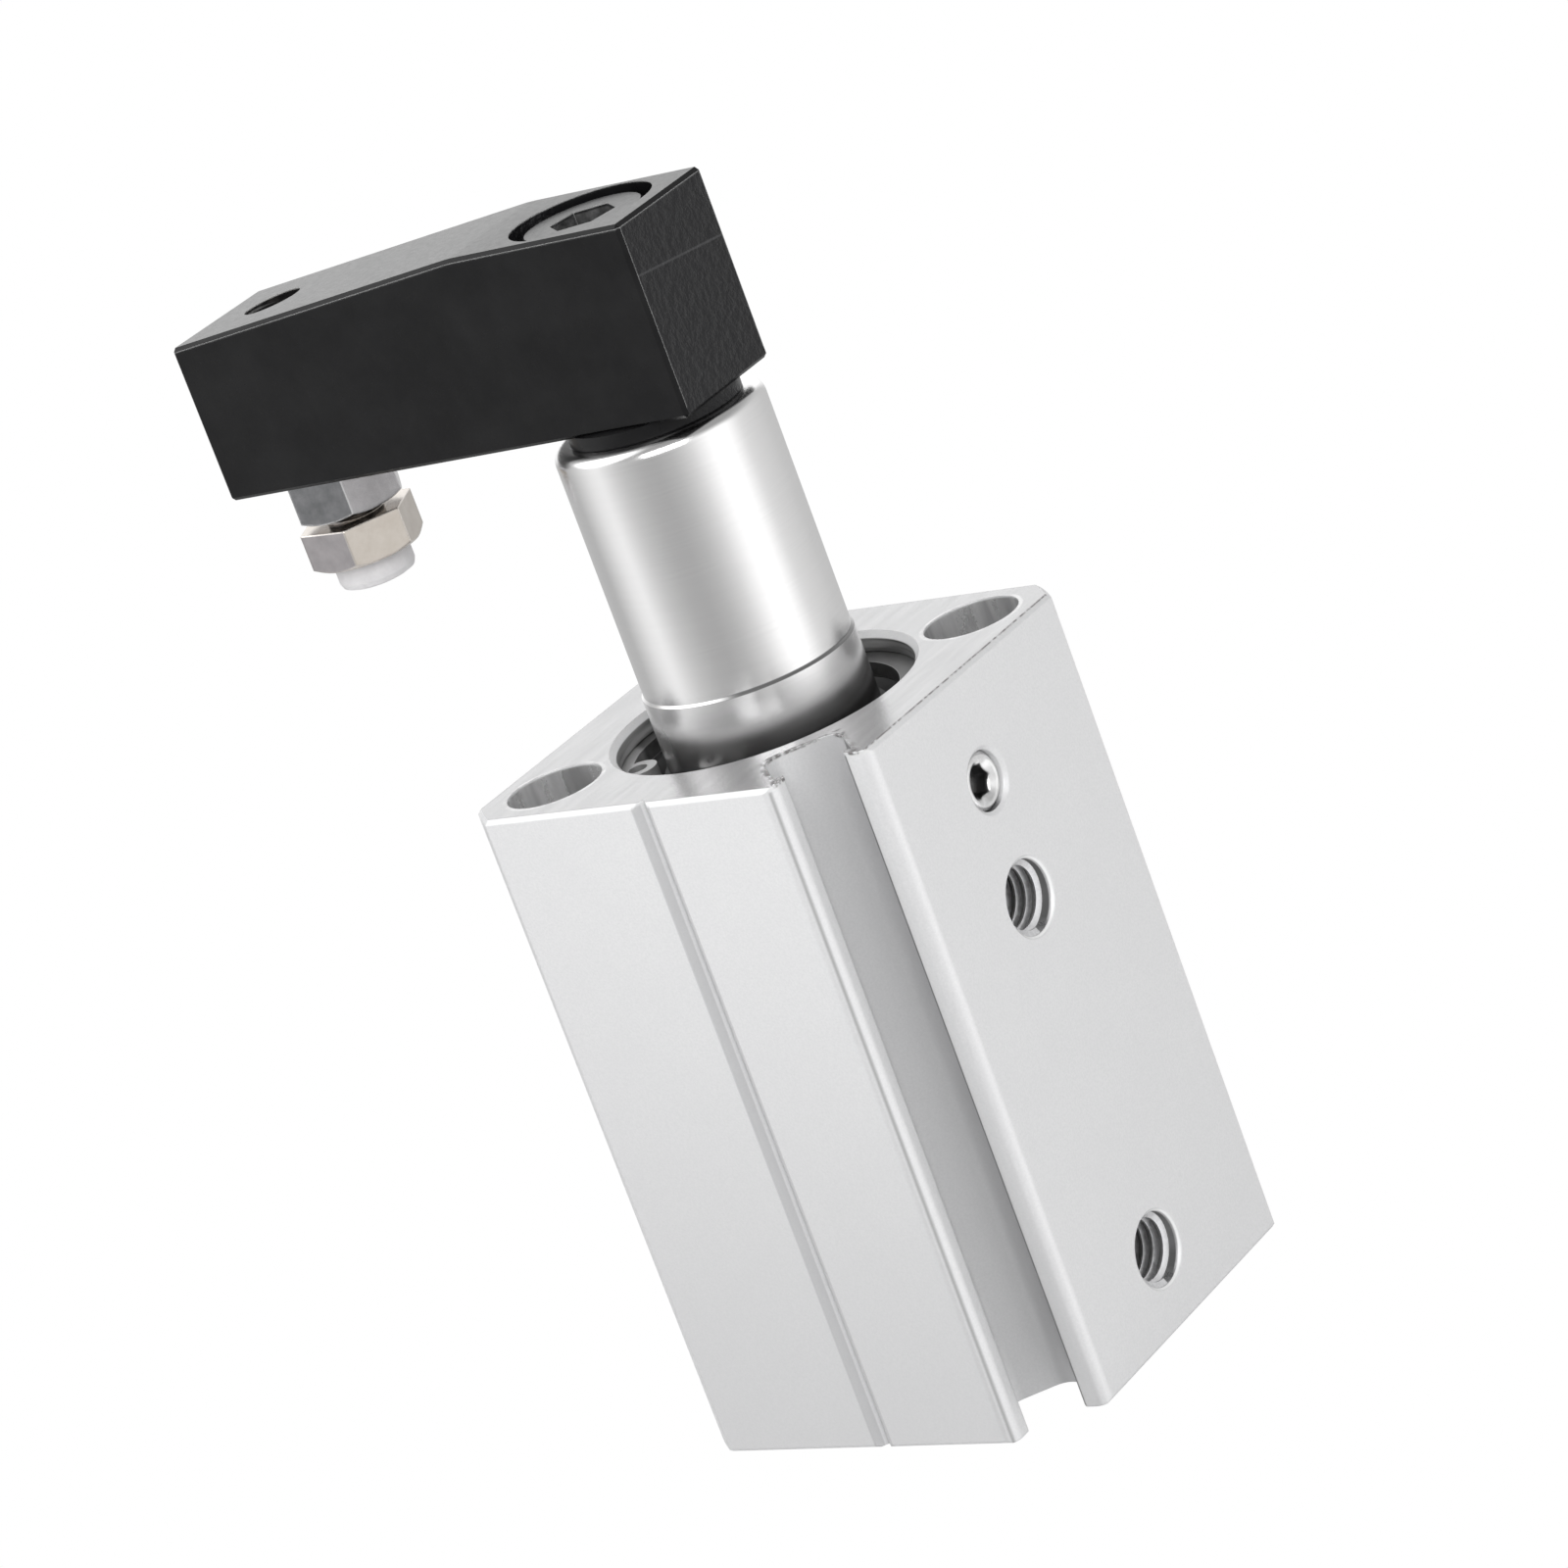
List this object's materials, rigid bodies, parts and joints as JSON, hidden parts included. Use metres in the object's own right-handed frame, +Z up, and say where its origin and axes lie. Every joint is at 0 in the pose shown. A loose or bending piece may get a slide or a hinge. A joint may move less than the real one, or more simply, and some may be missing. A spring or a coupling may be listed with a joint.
{
  "type": "rotary clamp cylinder",
  "caption": "Compact pneumatic rotary clamp cylinder: square aluminium body, chromed rod and a black clamp arm with an adjustable clamp bolt; the arm turns aside as the rod rises or falls",
  "frame": {"origin": "the cylinder's axis at the base face, the centre of the mounting holes", "axes": "+Z runs up the rod, +X out of the port face, and the arm points to -X with the rod out"},
  "size_m": [0.0465, 0.03, 0.0809],
  "materials": {
    "cylinder_body": "satin clear anodised extrusion",
    "rod_cover": "turned, grey anodised",
    "rod_bush": "sintered bronze",
    "rod_seal": "black",
    "rod_scraper": "black",
    "cover_o_ring": "black",
    "retaining_ring": "phosphated spring steel",
    "cover_lock_screw": "black oxide",
    "rod_side_bumper": "polyurethane",
    "guide_post": "hardened, milled groove",
    "post_screw": "zinc plated",
    "post_dowel": "ground",
    "post_o_ring": "black",
    "piston_seal": "black",
    "wear_ring": "natural plastic",
    "piston_rod": "hard chrome, polished",
    "piston": "turned",
    "piston_magnet": "plastic bonded magnet",
    "piston_o_ring": "black",
    "follower_pin": "ground and hardened",
    "head_side_bumper": "polyurethane",
    "clamp_arm": "black oxide, milled",
    "arm_screw": "black oxide",
    "clamp_bolt": "nickel plated",
    "clamp_lock_nut": "zinc plated",
    "clamp_pad": "white plastic"
  },
  "bodies": {
    "cylinder": {"cylinder_body": "cylinder_body", "rod_cover": "rod_cover", "rod_bush": "rod_bush", "rod_seal": "rod_seal", "rod_scraper": "rod_scraper", "cover_o_ring": "cover_o_ring", "retaining_ring": "retaining_ring", "cover_lock_screw": "cover_lock_screw", "rod_side_bumper": "rod_side_bumper", "guide_post": "guide_post", "post_screw": "post_screw", "post_dowel": "post_dowel", "post_o_ring": "post_o_ring"},
    "stroke": {"piston_seal": "piston_seal", "wear_ring": "wear_ring"},
    "rod": {"piston_rod": "piston_rod", "piston": "piston", "piston_magnet": "piston_magnet", "piston_o_ring": "piston_o_ring", "follower_pin": "follower_pin", "head_side_bumper": "head_side_bumper", "clamp_arm": "clamp_arm", "arm_screw": "arm_screw", "clamp_bolt": "clamp_bolt", "clamp_lock_nut": "clamp_lock_nut", "clamp_pad": "clamp_pad"}
  },
  "joints": [
    {"name": "swing_stroke", "type": "slide", "parent": "cylinder", "child": "stroke", "axis": [0, 0, 1], "range_m": [-0.008, 0]},
    {"name": "arm_swing", "type": "hinge", "parent": "stroke", "child": "rod", "pos_m": [0, 0, 0.03], "axis": [0, 0, 1], "range_deg": [-90, 0]}
  ],
  "couplings": [
    {"joint": "arm_swing", "follows": "swing_stroke", "rad_per_m": 196.35}
  ]
}
